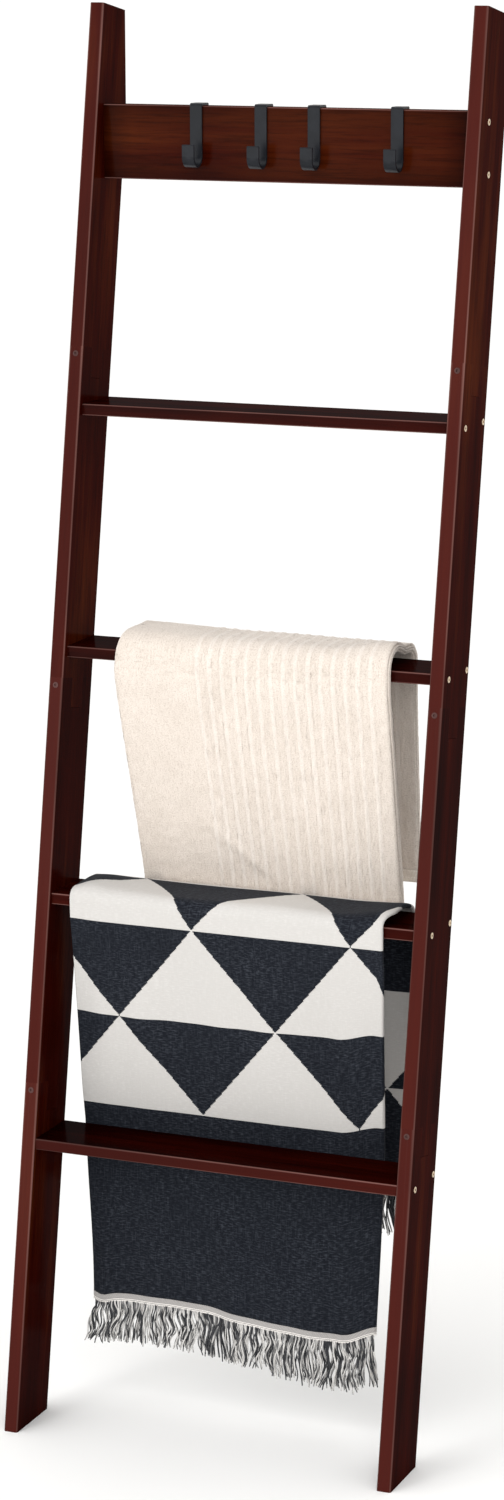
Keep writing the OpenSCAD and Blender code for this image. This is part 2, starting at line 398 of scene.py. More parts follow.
class Path:
    """The middle line of a draped stack, seen from the side, as a smooth function of length."""

    step = 1.5 * MM
    soften = 3.5 * MM  # how far its corners are rounded

    def __init__(self, points):
        raw = np.array(points, float)
        along = np.concatenate([[0.0], np.cumsum(np.linalg.norm(np.diff(raw, axis=0), axis=1))])
        at = np.arange(0.0, along[-1], self.step)
        line = np.stack([np.interp(at, along, raw[:, k]) for k in range(2)], axis=1)
        reach = int(4 * self.soften / self.step)
        weights = np.exp(-0.5 * (np.arange(-reach, reach + 1) * self.step / self.soften) ** 2)
        weights /= weights.sum()
        start = line[0] + (line[0] - line[1]) * np.arange(reach, 0, -1)[:, None]
        end = line[-1] + (line[-1] - line[-2]) * np.arange(1, reach + 1)[:, None]
        padded = np.concatenate([start, line, end])
        self.line = np.stack([np.convolve(padded[:, k], weights, "valid") for k in range(2)], axis=1)
        self.s = np.concatenate([[0.0], np.cumsum(np.linalg.norm(np.diff(self.line, axis=0), axis=1))])
        self.length = self.s[-1]
        self.top = self.line[:, 1].argmax()

    def at(self, s, n):
        """The (y, z) of a point s along the line and n outwards from it, past the ends too."""
        s = np.asarray(s, float)
        inside = np.clip(s, 0.0, self.length)
        tangent = np.gradient(self.line, self.s, axis=0)
        y, z, ty, tz = (
            np.interp(inside, self.s, column) for column in (*self.line.T, *tangent.T)
        )
        size = np.hypot(ty, tz)
        ty, tz = ty / size, tz / size
        past = s - inside
        return y + ty * past - tz * n, z + tz * past + ty * n

    def length_at(self, z, behind=False):
        """How far along the line is at height z, in front of the rung or behind it."""
        part = slice(self.top, None) if behind else slice(0, self.top)
        i = np.abs(self.line[part, 1] - z).argmin()
        return self.s[part][i]


GAP = 0.5 * MM  # between a rung and the stack on it
RUNG_BESIDE = 26 * MM  # how far below the rung's top the stack still lies against it
ARC_STEPS = 16


def drape(rung, stack, low_y, low_z, tuck_z, bend_r, top_z, back_z):
    """The path of a stack of that thickness, from its hem, behind the thing below, over the rung and down."""
    low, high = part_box(rung)
    front = low.y - GAP - stack / 2
    back = high.y + GAP + stack / 2
    bend_z = top_z - stack / 2 - bend_r
    beside = high.z - RUNG_BESIDE
    return Path(
        [(low_y, low_z), (low_y, tuck_z), (front, beside)]
        + arc(front + bend_r, bend_z, bend_r, 180, 90)
        + arc(back - bend_r, bend_z, bend_r, 90, 0)
        + [(back, beside), (back, back_z)]
    )


def grid_mesh(name, points, uv, layer):
    """A mesh from a grid of points (rows, columns, 3) with its cloth coordinates as a UV layer."""
    rows, columns = points.shape[:2]
    index = np.arange(rows * columns).reshape(rows, columns)
    quads = np.stack([index[:-1, :-1], index[:-1, 1:], index[1:, 1:], index[1:, :-1]], axis=-1)
    quads = quads.reshape(-1, 4)
    return linked_mesh(name, points.reshape(-1, 3), quads, uv.reshape(-1, 2)[quads], layer)


def linked_mesh(name, points, faces, loop_uv, layer):
    """A smooth-shaded mesh, linked into the scene, with the UV of each face corner in order."""
    mesh = bpy.data.meshes.new(name)
    mesh.from_pydata(points.tolist(), [], [list(map(int, face)) for face in faces])
    mesh.uv_layers.new(name=layer)
    mesh.uv_layers[layer].data.foreach_set("uv", np.asarray(loop_uv, np.float32).ravel())
    mesh.polygons.foreach_set("use_smooth", np.ones(len(faces), bool))
    made = bpy.data.objects.new(name, mesh)
    bpy.context.scene.collection.objects.link(made)
    return made


def thicken(obj, thickness):
    """Thickness to both sides of the sheet."""
    solid = obj.modifiers.new("thickness", "SOLIDIFY")
    solid.thickness = thickness
    solid.offset = 0.0


NEAREST = 0.4 * MM  # grid lines closer than this are merged


def steps(*ranges):
    """Sorted positions from (start, end, step) ranges, without near duplicates."""
    every = np.unique(np.concatenate([np.arange(a, b + step / 2, step) for a, b, step in ranges]))
    kept = [every[0]]
    for value in every[1:]:
        if value - kept[-1] > NEAREST:
            kept.append(value)
    return np.array(kept)


# ---------------------------------------------------------------- throw

THROW_LOW, THROW_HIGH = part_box("throw")
FRONT_FRINGE_LOW, FRONT_FRINGE_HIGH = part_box("throw_front_fringe")
BACK_FRINGE_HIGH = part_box("throw_back_fringe")[1]
THROW_STACK = FRONT_FRINGE_HIGH.y - FRONT_FRINGE_LOW.y
THROW_PATH = drape(
    "rung_2",
    THROW_STACK,
    (FRONT_FRINGE_LOW.y + FRONT_FRINGE_HIGH.y) / 2,
    THROW_LOW.z,
    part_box("rung_1")[1].z + 6 * MM,
    11 * MM,
    THROW_HIGH.z,
    BACK_FRINGE_HIGH.z,
)
THROW_PITCH = 2.15 * MM  # from layer to layer of the fold
THROW_CLOTH = 1.25 * MM
FLAP_RIGHT = 0.545  # the cut edges of the cloth, across it, with the middle panel's centre near 0
FLAP_LEFT = -0.564
HEM_HEIGHT = 9.5 * MM
HEM_THICKNESS = 1.7 * MM
HEM_OVERLAP = 0.8 * MM  # how far a hem's tape reaches over the cloth
THROW_UV = "throw_cloth"

ROW_HEIGHT = 0.120  # of one row of triangles
TRIANGLE_BASE = 0.202
WEAVE_STEP = 1.5 * MM  # the pattern is woven, so its slanting edges go in steps of a few threads
APEX_OFFSET = 0.1485  # an apex of the lowest row is this far left of the centre
FRONT_LINE_Z = 0.619  # the first horizontal line of the pattern on the front
# The next three shift only the pattern, to meet the photograph. The cloth's shape doesn't hold them.
TOP_SLACK = 0.022  # along the cloth, over the rung
FLAP_EASE = 0.031  # across it, in the right fold
TOP_SHEAR = 0.012  # across it, over the rung

throw_pattern_start = THROW_PATH.length_at(FRONT_LINE_Z) - 2 * ROW_HEIGHT
THROW_ARCH_Z = THROW_HIGH.z - 20 * MM
throw_arch = (THROW_PATH.length_at(THROW_ARCH_Z), THROW_PATH.length_at(THROW_ARCH_Z, True))

LEFT_DRAWN_IN = 9.5 * MM  # the left fold at the hem
HEM_DROOP = 14 * MM  # the hem hangs lower towards the right
LEFT_DROOP = 5 * MM  # and at its left fold
CORNER_RISE = 19 * MM  # its right corner is drawn up again
FREE_RIPPLE, HEM_RIPPLE, BACK_RIPPLE = 3.0 * MM, 4.5 * MM, 3.0 * MM
LEFT_FOLD_PUFF, RIGHT_FOLD_PUFF, ARCH_RIPPLE = 4.5 * MM, 7.0 * MM, 1.2 * MM  # over the rung
LEFT_CURL = 4.0 * MM
BACK_FREE_Z = 0.60  # behind, the cloth hangs free below this height


def throw_left(s):
    """Where the left fold is, s along the cloth."""
    return THROW_LOW.x + LEFT_DRAWN_IN * (1 - smooth(s, 0.0, 0.28))


def throw_right(s):
    """The right fold runs in towards the hem, and out again where it goes over the rung."""
    return 0.176 + 0.041 * np.minimum(s, 0.45) + 8.0 * MM * smooth(s, 0.512, 0.535)


def throw_hang(x, s):
    """How far the cloth stands above its usual height, measured along it."""
    droop = -HEM_DROOP * smooth(x, -0.12, 0.13) - LEFT_DROOP * hump(x, -0.184, 0.012)
    corner = CORNER_RISE * smooth(x, 0.128, 0.182) * (1 - 0.35 * smooth(s, 0.0, 0.2))
    return droop * (1 - smooth(s, 0.0, 0.22)) + corner * (1 - smooth(s, 0.34, 0.47))


def throw_wave(x, s):
    """Soft ripples square to the cloth. It lies flat where it is tucked behind rung 1 and on rung 2."""
    behind = THROW_PATH.length_at(BACK_FREE_Z, True)
    free = FREE_RIPPLE * hump(s, 0.35, 0.085)
    hem = HEM_RIPPLE * (1 - smooth(s, 0.0, 0.16))
    back = BACK_RIPPLE * smooth(s, behind, behind + 0.1)
    ripple = 0.6 * np.sin(36 * x + 0.7) + 0.3 * np.sin(71 * x + 1.9 + 5 * s) + 0.2 * np.sin(118 * x + 3.1)
    broad = 0.5 * np.sin(15 * x + 9 * s)
    top_front, top_back = throw_arch
    over = smooth(s, top_front, top_front + 0.03) * (1 - smooth(s, top_back - 0.045, top_back - 0.015))
    arch = LEFT_FOLD_PUFF * hump(x, -0.186, 0.018) + RIGHT_FOLD_PUFF * smooth(x, 0.13, 0.2)
    arch = arch + ARCH_RIPPLE * np.sin(30 * x)
    left_curl = -LEFT_CURL * (1 - smooth(x, -0.206, -0.165)) * hump(s, 0.42, 0.12)
    return (free + hem + back) * (ripple + broad) + over * arch + left_curl


def throw_surface(a, s):
    """A point of the throw: the middle panel is outermost, the left flap next and the right flap inside."""
    a, s = np.broadcast_arrays(np.asarray(a, float), np.asarray(s, float))
    left, right = throw_left(s), throw_right(s)
    x, n = a.copy(), np.full(a.shape, THROW_PITCH)

    def fold(past, edge, side, radius):
        turn = np.clip(past / radius, 0.0, math.pi)
        straight = np.maximum(past - math.pi * radius, 0.0)
        folded_x = edge + side * (radius * np.sin(turn) - radius - straight)
        return folded_x, THROW_PITCH - radius * (1 - np.cos(turn))

    for past, edge, side, radius in (
        (a - right + THROW_PITCH, right, 1.0, THROW_PITCH),
        (left + THROW_PITCH / 2 - a, left, -1.0, THROW_PITCH / 2),
    ):
        folded_x, folded_n = fold(past, edge, side, radius)
        x = np.where(past > 0, folded_x, x)
        n = np.where(past > 0, folded_n, n)
    y, z = THROW_PATH.at(s + throw_hang(x, s), n + throw_wave(x, s))
    return np.stack([x, y, z], axis=-1)


def throw_uv(a, s):
    """The cloth's own coordinates with the pattern's shifts."""
    a, s = np.broadcast_arrays(np.asarray(a, float), np.asarray(s, float))
    taken = TOP_SLACK * smooth(s, *throw_arch)
    eased = FLAP_EASE * smooth(a, 0.185, 0.205)
    sheared = TOP_SHEAR * smooth(s, throw_arch[0] - 0.018, throw_arch[0] + 0.065)
    return np.stack([a + eased - sheared, s + taken], axis=-1)


THREAD_PAIR = 0.0016  # one thread over and one under


def heather(s, across, along, dark, light):
    """Colour and height of a plain weave with slubby weft threads that run across."""
    weft = s.vector(s.math("MULTIPLY", across, 150.0), s.math("MULTIPLY", along, 620.0))
    weft = s.noise(weft, 1.0, 2.0, 0.6)
    warp = s.vector(s.math("MULTIPLY", across, 520.0), s.math("MULTIPLY", along, 60.0), 4.0)
    warp = s.noise(warp, 1.0, 2.0)
    cloud = s.noise(s.vector(across, along, 9.0), 14.0, 2.0)
    slub = s.math("MULTIPLY", s.spread(weft, 0.47, 0.80), s.spread(cloud, 0.3, 0.7, 0.45, 1.0))
    slub = s.math("ADD", slub, s.math("MULTIPLY", s.spread(warp, 0.52, 0.82), 0.35))
    colour = s.mix(s.math("MINIMUM", slub, 1.0), dark, light)
    angle = 2 * math.pi / THREAD_PAIR
    up = s.math("SINE", s.math("MULTIPLY", across, angle))
    over = s.math("SINE", s.math("MULTIPLY", along, angle))
    weave = s.math("MULTIPLY", up, over)
    height = s.math("ADD", s.math("MULTIPLY", weave, 0.35), s.math("ADD", weft, warp))
    return colour, height


def throw_material():
    """Navy cloth with rows of cream triangles, each row half a triangle along from the one below."""
    s = Shader("throw_weave")
    across, along = s.cloth_uv(THROW_UV)
    a = s.math("SNAP", across, WEAVE_STEP)
    v = s.math("SNAP", along, WEAVE_STEP)
    rows = s.math("DIVIDE", s.math("SUBTRACT", v, throw_pattern_start), ROW_HEIGHT)
    row = s.math("FLOOR", rows)
    left_to_apex = s.math("SUBTRACT", 1.0, s.math("FRACT", rows))
    place = s.math("DIVIDE", s.math("ADD", a, APEX_OFFSET + 20 * TRIANGLE_BASE), TRIANGLE_BASE)
    place = s.math("ADD", s.math("SUBTRACT", place, s.math("MULTIPLY", row, 0.5)), 0.5)
    off_apex = s.math("ABSOLUTE", s.math("SUBTRACT", s.math("FRACT", place), 0.5))
    triangle = s.math("LESS_THAN", off_apex, s.math("MULTIPLY", left_to_apex, 0.5))
    cream_here = s.math("MULTIPLY", triangle, s.math("GREATER_THAN", rows, 0.0))
    navy, navy_height = heather(s, across, along, (0.0066, 0.0083, 0.0130), (0.056, 0.063, 0.078))
    cream, _ = heather(s, across, along, (0.57, 0.552, 0.53), (0.655, 0.638, 0.618))
    colour = s.mix(cream_here, navy, cream)
    height = s.math("ADD", navy_height, s.math("MULTIPLY", cream_here, 0.4))
    return s.finish(
        Base_Color=colour,
        Roughness=s.spread(navy_height, 0.5, 1.6, 0.82, 0.97),
        Specular_IOR_Level=0.12,
        Sheen_Weight=0.03,
        Sheen_Roughness=0.5,
        Normal=s.bump(height, 0.45, 0.35 * MM),
    )


def hem_material():
    """Off-white twill tape with a stitched double line at its foot, where along is 0, and painted shade in
    the groove between the two lines.
    """
    s = Shader("hem_twill")
    across, along = s.cloth_uv(THROW_UV)
    slope = s.math("ADD", s.math("MULTIPLY", across, 2600.0), s.math("MULTIPLY", along, 3400.0))
    twill = s.math("SINE", slope)
    share = s.spread(twill, -0.6, 0.8)
    colour = s.mix(share, (0.24, 0.23, 0.225), (0.58, 0.55, 0.53))
    foot = s.math("LESS_THAN", along, 3.6 * MM)
    groove = s.math("COMPARE", along, 2.2 * MM, 0.3 * MM)
    colour = s.mix(foot, colour, (0.90, 0.86, 0.82))
    # painted shade in the groove between the foot's two lines
    colour = s.mix(groove, colour, (0.16, 0.15, 0.15))
    height = s.math("ADD", share, s.math("MULTIPLY", foot, 0.6))
    height = s.math("SUBTRACT", height, s.math("MULTIPLY", groove, 1.4))
    return s.finish(
        Base_Color=colour, Roughness=0.9, Sheen_Weight=0.15, Normal=s.bump(height, 0.6, 0.4 * MM)
    )


YARN_UV = "yarn"
YARN_TWIST = 26 * MM  # length of one turn of the two plies
CLUMP_WIDTH = 15 * MM  # neighbouring yarns cling together in clumps
STRAND_RINGS, STRAND_SIDES = 13, 6
HIDDEN_SPACING = 1.5  # the flaps' yarns, against the middle panel's
FRINGE_TUCK = 1.0 * MM  # how far the yarns start inside the hem's tape


def yarn_material():
    """Marled two-ply yarn. The whole part of u is the strand's number, and v is the length along it."""
    s = Shader("fringe_yarn")
    u, v = s.cloth_uv(YARN_UV)
    strand = s.math("FLOOR", u)
    chance = s.node("ShaderNodeTexWhiteNoise", noise_dimensions="1D")
    s.put(strand, chance.inputs["W"])
    pick = chance.outputs["Value"]
    turn = s.math("ADD", s.math("FRACT", u), s.math("DIVIDE", v, YARN_TWIST))
    turn = s.math("ADD", turn, s.math("MULTIPLY", pick, 9.0))
    ply = s.math("GREATER_THAN", s.math("FRACT", turn), 0.5)
    pale, grey, dark = (0.90, 0.88, 0.85), (0.66, 0.64, 0.62), (0.040, 0.042, 0.049)
    first = s.ramp(pick, (0.0, pale), (0.52, grey), (0.70, dark))
    pale, grey, dark = (0.80, 0.78, 0.75), (0.28, 0.28, 0.28), (0.024, 0.026, 0.031)
    second = s.ramp(pick, (0.0, pale), (0.24, grey), (0.50, dark))
    fibre = s.noise(s.vector(s.math("MULTIPLY", u, 9.0), s.math("MULTIPLY", v, 500.0)), 1.0, 3.0)
    colour = s.mix(ply, first, second)
    shade = s.ramp(fibre, (0.25, (0.62, 0.62, 0.62)), (0.7, (1.0, 1.0, 1.0)))
    colour = s.mix(1.0, colour, shade, "MULTIPLY")
    groove = s.math("ABSOLUTE", s.math("SINE", s.math("MULTIPLY", turn, 2 * math.pi)))
    return s.finish(
        Base_Color=colour, Roughness=0.92, Sheen_Weight=0.2, Normal=s.bump(groove, 0.5, 0.5 * MM)
    )


def strand_tubes(name, centres, radii):
    """Round yarns: centres is (strands, rings, 3) and radii (strands, rings)."""
    count, rings = radii.shape
    sides = STRAND_SIDES
    tangent = np.gradient(centres, axis=1)
    tangent /= np.linalg.norm(tangent, axis=2, keepdims=True)
    across = np.cross(tangent, np.array([0.0, 1.0, 0.0]))
    across /= np.linalg.norm(across, axis=2, keepdims=True)
    other = np.cross(tangent, across)
    angle = np.linspace(0, 2 * math.pi, sides, endpoint=False)
    ring = (
        np.cos(angle)[None, None, :, None] * across[:, :, None]
        + np.sin(angle)[None, None, :, None] * other[:, :, None]
    )
    tube = centres[:, :, None] + ring * radii[:, :, None, None]
    tip = centres[:, -1] + tangent[:, -1] * radii[:, -1, None]
    points = np.concatenate([tube.reshape(-1, 3), tip, centres[:, 0]])
    length = np.cumsum(np.linalg.norm(np.diff(centres, axis=1, prepend=centres[:, :1]), axis=2), axis=1)
    faces, loop_uv = [], []
    for k in range(count):
        base = k * rings * sides
        for r in range(rings - 1):
            for i in range(sides):
                j = (i + 1) % sides
                low, high = base + r * sides, base + (r + 1) * sides
                faces.append((low + i, low + j, high + j, high + i))
                u0, u1 = k + 0.02 + 0.96 * i / sides, k + 0.02 + 0.96 * (i + 1) / sides
                v0, v1 = length[k, r], length[k, r + 1]
                loop_uv += [(u0, v0), (u1, v0), (u1, v1), (u0, v1)]
    # a point closes each end
    for k in range(count):
        base = k * rings * sides
        last = base + (rings - 1) * sides
        tip_at, root_at = count * rings * sides + k, count * rings * sides + count + k
        for i in range(sides):
            j = (i + 1) % sides
            faces.append((last + i, last + j, tip_at))
            faces.append((base + j, base + i, root_at))
            loop_uv += [(k + 0.5, length[k, -1])] * 3 + [(k + 0.5, 0.0)] * 3
    return linked_mesh(name, points, faces, loop_uv, YARN_UV)


def fringe(name, end_s, out, pitch, length, look):
    """Yarns that hang from one end of the throw: end_s is where they start and out is -1 or +1 along s."""
    roots = []
    # the middle panel, then the right and left flaps folded behind it, whose yarns are sparser
    for start, end, spacing, depth in (
        (-0.204, 0.199, pitch, 0),
        (0.21, FLAP_RIGHT - 0.004, pitch * HIDDEN_SPACING, 1),
        (FLAP_LEFT + 0.004, -0.216, pitch * HIDDEN_SPACING, 2),
    ):
        for a in np.arange(start, end, spacing):
            roots.append((a + rng.normal(0, 0.2) * spacing, depth))
    a = np.array([r[0] for r in roots])
    depth = np.array([r[1] for r in roots])
    if out < 0:
        inside = np.clip(a, throw_left(0.0) + 3 * MM, throw_right(0.0) - 3 * MM)
        a = np.where(depth == 0, inside, a)
    root = throw_surface(a, np.full(a.shape, end_s))
    count = len(a)
    t = np.linspace(0.0, 1.0, STRAND_RINGS)[None, :]
    x0 = root[:, 0][:, None]

    # yarns swing with their clump and gather towards its middle
    clump = np.floor((x0 + 0.3) / CLUMP_WIDTH + rng.normal(0, 0.12, (count, 1)))
    centre = (clump + 0.5) * CLUMP_WIDTH - 0.3
    swings = np.random.default_rng(11)
    swing_of = {c: swings.normal(0, 3.0 * MM) for c in np.unique(clump)}
    swing = np.vectorize(swing_of.get)(clump)
    lean = -13 * MM * (1 - smooth(x0, -0.21, -0.10)) - 3 * MM + 11 * MM * smooth(x0, 0.10, 0.18)
    gather = (centre - x0) * rng.uniform(0.0, 0.42, (count, 1))

    # each is wavy, with a phase that drifts along the hem
    wave = rng.uniform(1.2, 4.0, (count, 1)) * MM
    phase = 95 * x0 + 2.2 * np.sin(31 * x0) + rng.normal(0, 0.55, (count, 1))
    turns = 1.1 + 0.3 * np.sin(60 * x0) + rng.normal(0, 0.12, (count, 1))
    long = (length + 9 * MM * smooth(x0, 0.0, 0.15)) * rng.uniform(0.86, 1.06, (count, 1))
    slide = (lean + swing) * t**1.6 + gather * smooth(t, 0.0, 0.8)
    x = x0 + slide + wave * (np.sin(phase + 2 * math.pi * turns * t) - np.sin(phase)) * smooth(t, 0, 0.3)
    push = rng.normal(0, 1.6 * MM, (count, 1)) - 0.4 * MM
    y = root[:, 1][:, None] + push * t + wave * 0.6 * np.sin(phase * 1.7 + 5 * t) * t
    z = root[:, 2][:, None] - long * t
    z = z + 2.0 * MM * smooth(t, 0.75, 1.0) * rng.uniform(0, 1, (count, 1))
    radii = np.repeat(rng.uniform(0.95, 1.25, (count, 1)), STRAND_RINGS, axis=1) * MM
    radii = radii * (1 - 0.35 * t**3)
    made = strand_tubes(name, np.stack([x, y, z], axis=-1), radii)
    made.data.materials.append(look)
    return made


def build_throw():
    """The cloth with finer rows over the rung and at its folds, its two hems and its two fringes."""
    arch_low, arch_high = throw_arch
    s = steps((0.0, THROW_PATH.length, 6 * MM), (arch_low - 0.02, arch_high + 0.02, 2 * MM))
    s[-1] = THROW_PATH.length
    a = steps(
        (FLAP_LEFT, FLAP_RIGHT, 6 * MM),
        (-0.2165, -0.190, 0.7 * MM),
        (0.1715, 0.209, 0.7 * MM),
    )
    points = throw_surface(a[None, :], s[:, None])
    cloth = grid_mesh("throw_cloth", points, throw_uv(a[None, :], s[:, None]), THROW_UV)
    cloth.data.materials.append(throw_material())
    thicken(cloth, THROW_CLOTH)
    hems = []
    tape = hem_material()
    for name, low, high, foot in (
        ("throw_front_hem", -HEM_HEIGHT, HEM_OVERLAP, -HEM_HEIGHT),
        ("throw_back_hem", THROW_PATH.length - HEM_OVERLAP, THROW_PATH.length + HEM_HEIGHT, None),
    ):
        rows = np.linspace(low, high, 8)
        height = rows - foot if foot is not None else rows[::-1] - low
        uv = np.stack(np.broadcast_arrays(a[None, :], height[:, None]), axis=-1)
        hem = grid_mesh(name, throw_surface(a[None, :], rows[:, None]), uv, THROW_UV)
        hem.data.materials.append(tape)
        thicken(hem, HEM_THICKNESS)
        hems.append(hem)
    yarn = yarn_material()
    front_s, back_s = -HEM_HEIGHT + FRINGE_TUCK, THROW_PATH.length + HEM_HEIGHT - FRINGE_TUCK
    front = fringe("throw_fringe_front", front_s, -1, pitch=2.1 * MM, length=54 * MM, look=yarn)
    back = fringe("throw_fringe_back", back_s, 1, pitch=2.2 * MM, length=44 * MM, look=yarn)
    for piece in (cloth, *hems, front, back):
        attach(piece, "throw_body")
    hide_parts("throw")
    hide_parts("throw_front_fringe")
    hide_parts("throw_back_fringe")


# ---------------------------------------------------------------- towel

TOWEL_LOW, TOWEL_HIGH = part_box("towel")
TOWEL_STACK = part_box("rung_3")[0].y - GAP - TOWEL_LOW.y
TOWEL_BACK_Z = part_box("rung_2")[1].z + 22.5 * MM
TOWEL_PATH = drape(
    "rung_3",
    TOWEL_STACK,
    THROW_HIGH.y + 2.5 * MM + TOWEL_STACK / 2,
    TOWEL_LOW.z,
    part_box("rung_2")[1].z + 12 * MM,
    18 * MM,
    TOWEL_HIGH.z,
    TOWEL_BACK_Z,
)
TERRY = 2.3 * MM  # thickness of one layer
LAYER = 1.45 * MM  # a layer's distance from the middle of its pair
PAIR = 2.9 * MM  # a pair's distance from the middle of the stack
TOWEL_HALF = 0.348  # half of the towel's width, from its lengthwise fold to its selvedge
OUTER_SHORT = 0.026  # the outer end behind stops this much higher than the inner one
TOWEL_SKEW = 18 * MM
RIB_START, RIB_PITCH, RIB_COUNT, RIB_WIDTH, RIB_HEIGHT = 0.109, 15.6 * MM, 15, 2.1 * MM, 0.95 * MM
UNEVEN = 0.42 * MM  # spread of the pile's surface
PRESSED = 0.9  # share of that which the inner layers lose against the rung
RUNG_MARGIN = 30 * MM  # how far along the towel the rung's hold fades out
TOWEL_UV = "towel_cloth"
RUNG_3_LOW_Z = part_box("rung_3")[0].z

TOWEL_ARCH_Z = TOWEL_HIGH.z - 30 * MM
towel_arch = (TOWEL_PATH.length_at(TOWEL_ARCH_Z), TOWEL_PATH.length_at(TOWEL_ARCH_Z, True))


def rib_height(t):
    """Raised ribs along the towel, at t from the lengthwise fold."""
    place = (t - RIB_START) / RIB_PITCH
    near = np.clip(np.round(place), 0, RIB_COUNT - 1)
    off = (place - near) * RIB_PITCH
    return RIB_HEIGHT * np.exp(-((off / RIB_WIDTH) ** 2))


def towel_on_rung(s):
    """1 where the towel lies against the rung, and 0 where it hangs free."""
    front, back = TOWEL_PATH.length_at(RUNG_3_LOW_Z), TOWEL_PATH.length_at(RUNG_3_LOW_Z, True)
    begins = smooth(s, front - RUNG_MARGIN, front - 5 * MM)
    return begins * (1 - smooth(s, back + 5 * MM, back + RUNG_MARGIN))


def towel_wave(x, s):
    """How far the stack stands off its path: puffed over the rung, rippled where it hangs, and one crease."""
    top_front, top_back = towel_arch
    over = smooth(s, top_front, top_front + 0.05) * (1 - smooth(s, top_back - 0.05, top_back))
    right_end = 10.0 * MM * hump(s, top_front + 0.038, 0.034) - 4.0 * MM * hump(s, top_back - 0.042, 0.018)
    left_end = 6.0 * MM * (1 - smooth(x, -0.13, 0.0))
    arch = smooth(x, 0.10, 0.175) * right_end + left_end + 1.2 * MM * np.sin(24 * x + 1)
    pinches = 0.9 * MM * np.sin(95 * x + 8 * np.sin(14 * x)) * hump(s, top_front + 0.02, 0.035)
    hanging = hump(s, 0.19, 0.10) + 0.8 * smooth(s, top_back + 0.05, top_back + 0.2)
    ripple = 1.9 * MM * np.sin(19 * x + 0.4 + 3 * s) + 0.9 * MM * np.sin(47 * x + 2.0 - 6 * s)
    off_crease = (s - 0.078) + 0.75 * (x + 0.005)
    crease = 2.2 * MM * hump(off_crease, 0.0, 0.009) * hump(x, -0.02, 0.045)
    wave = over * arch + pinches + hanging * ripple + crease
    # it may stand off the rung but not sink into it
    return wave - np.minimum(wave, 0.0) * towel_on_rung(s)


def towel_surface(a, b, proud=0.0):
    """A point of the towel, folded in four. a is across it from the lengthwise fold, and b along it from the
    fold at the front hem: below 0 is the outer pair of layers, above 0 the inner pair."""
    a, b = np.broadcast_arrays(np.asarray(a, float), np.asarray(b, float))
    turn = np.clip(a / LAYER, -math.pi / 2, math.pi / 2)
    across = np.maximum(np.abs(a) - LAYER * math.pi / 2, 0.0)
    t = across + LAYER * (1 - np.cos(turn))
    in_pair = -(LAYER + proud) * np.sin(turn)
    radius = PAIR + in_pair
    bend = np.clip(b / PAIR, -math.pi / 2, math.pi / 2)
    straight = np.maximum(np.abs(b) - PAIR * math.pi / 2, 0.0)
    s = straight - radius * np.cos(bend) + PAIR
    n = -radius * np.sin(bend)
    share = smooth(s, towel_arch[0] + 0.02, -0.02)
    narrow = TOWEL_SKEW * share * (1 - t / TOWEL_HALF)
    flare = 6 * MM * smooth(s, towel_arch[1], TOWEL_PATH.length) * t / TOWEL_HALF
    x = TOWEL_LOW.x + t + narrow + flare
    x = x + 13.0 * MM * hump(s, 0.5 * sum(towel_arch), 0.045) * np.exp(-t / 0.03)
    y, z = TOWEL_PATH.at(s, n + towel_wave(x, s))
    return np.stack([x, y, z], axis=-1)


def towel_ribbed(a, b):
    """The towel's surface with its ribs, which are on the outermost layer, as far as its hem."""
    outer = (np.asarray(a) < 0) & (np.asarray(b) < 0)
    from_end = np.asarray(b) + TOWEL_PATH.length - OUTER_SHORT
    ribs = rib_height(np.abs(a)) * smooth(from_end, 0.013, 0.019)
    return towel_surface(a, b, np.where(outer, ribs, 0.0))


def terry_material():
    """Undyed terry: looped pile in fine rows with painted shade in its hollows, faint patches, and ribs with
    painted light on their crests and painted shade beside them.
    """
    s = Shader("terry")
    across, along = s.cloth_uv(TOWEL_UV)
    cloth = s.vector(across, along)
    loops = s.noise(cloth, 620.0, 2.0, 0.6)
    lines = s.vector(s.math("MULTIPLY", across, 420.0), s.math("MULTIPLY", along, 90.0))
    lines = s.noise(lines, 1.0, 2.0)
    patches = s.noise(cloth, 22.0, 3.0)
    pile = s.math("ADD", s.math("MULTIPLY", loops, 0.7), s.math("MULTIPLY", lines, 0.3))
    # painted shade darkens the pile's hollows and painted light lightens the loop tips
    shaded_hollow, body, tip = (0.55, 0.475, 0.41), (0.745, 0.665, 0.595), (0.83, 0.76, 0.69)
    colour = s.ramp(pile, (0.30, shaded_hollow), (0.50, body), (0.72, tip))
    shade = s.ramp(patches, (0.3, (0.93, 0.925, 0.915)), (0.7, (1.0, 1.0, 1.0)))
    colour = s.mix(1.0, colour, shade, "MULTIPLY")
    # the ribs are cut pile; painted light lightens their crests, and painted shade darkens a foot beside them
    from_fold = s.math("DIVIDE", s.math("SUBTRACT", s.math("ABSOLUTE", across), RIB_START), RIB_PITCH)
    near = s.math("ABSOLUTE", s.math("SUBTRACT", s.math("FRACT", s.math("ADD", from_fold, 0.5)), 0.5))
    ribbed = s.math("GREATER_THAN", from_fold, -0.5)
    ribbed = s.math("MULTIPLY", ribbed, s.math("LESS_THAN", from_fold, RIB_COUNT - 0.5))
    crest = s.math("MULTIPLY", s.spread(near, 0.10, 0.19, 1.0, 0.0), ribbed)
    foot = s.math("ABSOLUTE", s.math("SUBTRACT", near, 0.24))
    foot = s.math("MULTIPLY", s.spread(foot, 0.0, 0.1, 0.5, 0.0), ribbed)
    colour = s.mix(s.math("MULTIPLY", crest, 0.24), colour, (0.90, 0.85, 0.80))
    colour = s.mix(s.math("MULTIPLY", foot, 0.12), colour, (0.66, 0.565, 0.485))
    height = s.math("MULTIPLY", pile, s.spread(crest, 0.0, 1.0, 1.0, 0.35))
    return s.finish(
        Base_Color=colour,
        Roughness=0.95,
        Specular_IOR_Level=0.15,
        Sheen_Weight=0.15,
        Sheen_Roughness=0.6,
        Normal=s.bump(height, 0.75, 1.1 * MM),
    )


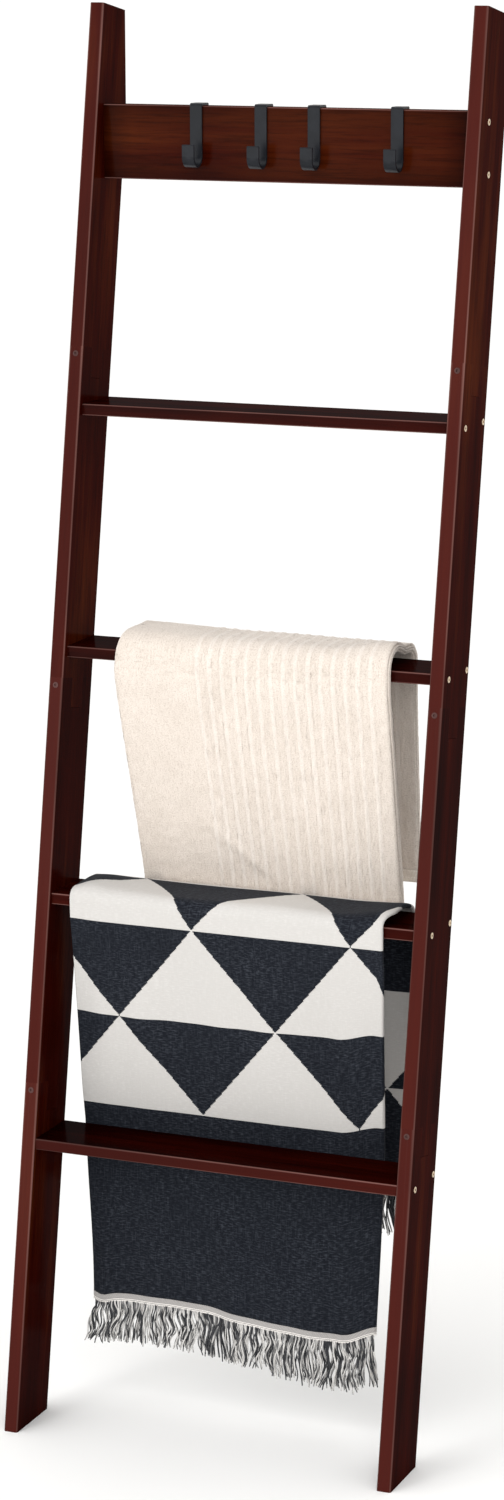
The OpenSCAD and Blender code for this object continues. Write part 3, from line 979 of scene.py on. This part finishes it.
def towel_hem_material():
    """Flat-woven hem of the towel with two rows of stitches. along runs from the cut end inwards."""
    s = Shader("towel_hem")
    across, along = s.cloth_uv(TOWEL_UV)
    weave = s.math("SINE", s.math("MULTIPLY", along, 4200.0))
    threads = s.noise(s.vector(s.math("MULTIPLY", across, 700.0), s.math("MULTIPLY", along, 260.0)), 1.0, 2.0)
    dash = s.math("GREATER_THAN", s.math("FRACT", s.math("DIVIDE", across, 3.4 * MM)), 0.32)
    upper, lower = (s.math("COMPARE", along, place, 0.5 * MM) for place in (10.5 * MM, 2.5 * MM))
    row = s.math("ADD", upper, lower)
    stitch = s.math("MULTIPLY", dash, row)
    colour = s.mix(s.spread(threads, 0.3, 0.7), (0.66, 0.58, 0.50), (0.82, 0.75, 0.67))
    colour = s.mix(stitch, colour, (0.88, 0.82, 0.75))
    height = s.math("ADD", s.math("MULTIPLY", weave, 0.25), s.math("SUBTRACT", stitch, row))
    return s.finish(
        Base_Color=colour, Roughness=0.9, Sheen_Weight=0.2, Normal=s.bump(height, 0.6, 0.5 * MM)
    )


def build_towel():
    """The cloth with finer rows over the rung, at its folds and on its ribs, and its two hems."""
    reach = TOWEL_PATH.length
    b = steps(
        (-reach + OUTER_SHORT, 0.0, 4.5 * MM),
        (0.0, reach, 7 * MM),
        (-towel_arch[1] - 0.01, -towel_arch[0] + 0.01, 2.5 * MM),
        (towel_arch[0] - 0.01, towel_arch[1] + 0.01, 4 * MM),
        (-8 * MM, 8 * MM, 1 * MM),
    )
    last_rib = RIB_START + RIB_PITCH * (RIB_COUNT - 0.6)
    a = steps(
        (-TOWEL_HALF, 0.0, 4.5 * MM),
        (0.0, TOWEL_HALF, 7 * MM),
        (-last_rib, -RIB_START + 6 * MM, 1.3 * MM),
        (-4 * MM, 4 * MM, 0.6 * MM),
    )
    points = towel_ribbed(a[None, :], b[:, None])
    # the pile makes the surface slightly uneven, but the inner layers are pressed flat against the rung
    uneven = rng.normal(0, UNEVEN, points.shape[:2])
    uneven = uneven * (1 - PRESSED * (b > 0) * towel_on_rung(np.abs(b)))[:, None]
    points[..., 1] += uneven
    points[..., 2] += uneven * 0.3
    uv = np.stack(np.broadcast_arrays(a[None, :], b[:, None]), axis=-1)
    towel = grid_mesh("towel_cloth", points, uv, TOWEL_UV)
    towel.data.materials.append(terry_material())
    thicken(towel, TERRY)
    look = towel_hem_material()
    hems = []
    coarse = steps((-TOWEL_HALF - 0.4 * MM, TOWEL_HALF + 0.4 * MM, 7 * MM), (-4 * MM, 4 * MM, 0.6 * MM))
    for name, end, side in (("towel_hem_outer", -reach + OUTER_SHORT, -1), ("towel_hem_inner", reach, 1)):
        inwards = np.linspace(-1.0 * MM, 13 * MM, 7)
        rows = end - side * inwards
        uv = np.stack(np.broadcast_arrays(coarse[None, :], inwards[:, None]), axis=-1)
        hem = grid_mesh(name, towel_surface(coarse[None, :], rows[:, None]), uv, TOWEL_UV)
        hem.data.materials.append(look)
        thicken(hem, TERRY + 0.5 * MM)
        hems.append(hem)
    for piece in (towel, *hems):
        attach(piece, "towel_body")
    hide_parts("towel")


make_camera()
make_studio()
dress_hard_parts()
build_throw()
build_towel()
